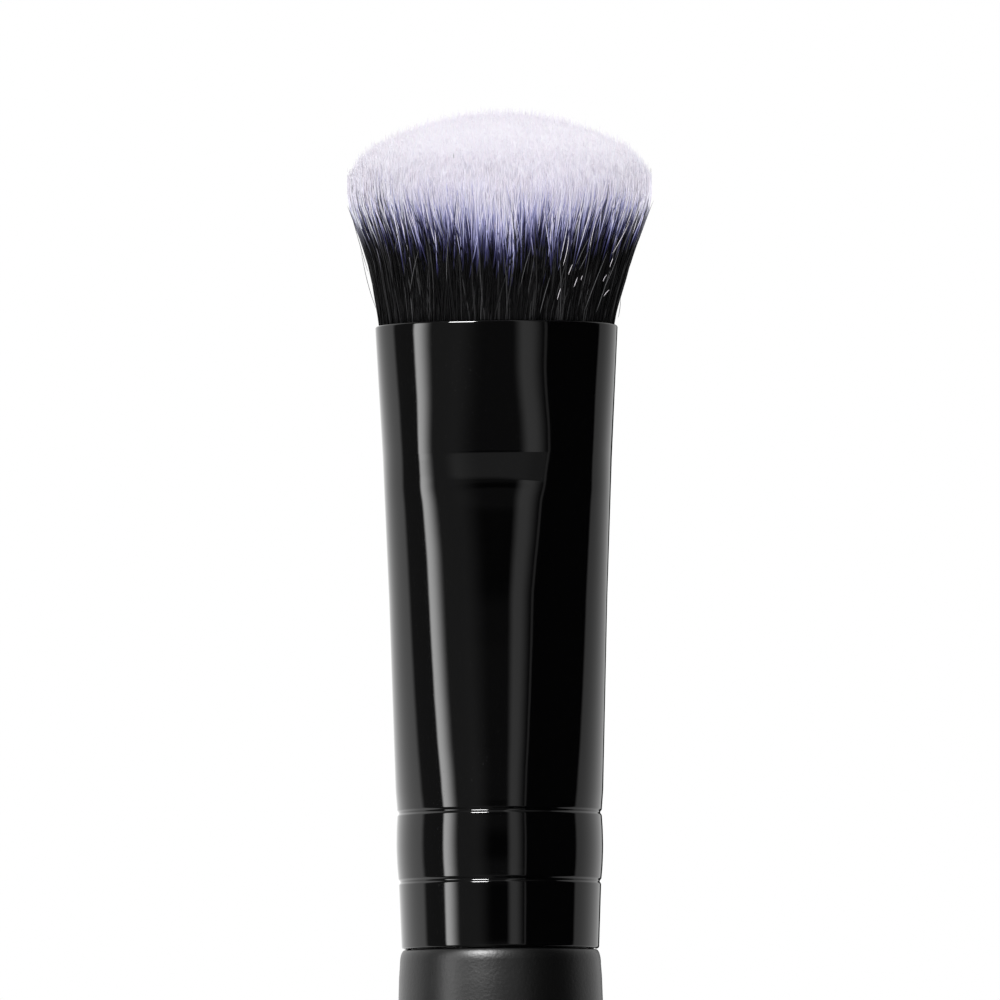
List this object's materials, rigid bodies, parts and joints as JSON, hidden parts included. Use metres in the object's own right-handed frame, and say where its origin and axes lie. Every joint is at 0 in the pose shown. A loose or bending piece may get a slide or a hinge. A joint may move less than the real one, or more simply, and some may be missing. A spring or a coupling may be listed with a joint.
{
  "type": "concealer brush",
  "caption": "Cosmetic brush with a domed oval head of dark filaments with pale tips, a black metal ferrule pressed oval at its mouth, and a tapered black handle.",
  "frame": {"origin": "centre of the flat at the handle's butt end", "axes": "+Z along the brush's axis, from the butt end to the bristles; +X along the head's wide side; +Y along its thin side"},
  "size_m": [0.019, 0.0138, 0.1502],
  "materials": {
    "handle_lacquer": "satin",
    "ferrule_gloss": "gloss",
    "adhesive": "gloss",
    "epoxy": "gloss",
    "filament_roots": "matte",
    "filaments": "satin"
  },
  "bodies": {
    "root": {"handle": "handle_lacquer", "ferrule": "ferrule_gloss", "tenon_adhesive": "adhesive", "root_epoxy": "epoxy", "bristle_roots": "filament_roots", "bristle_head": "filaments"}
  },
  "joints": []
}
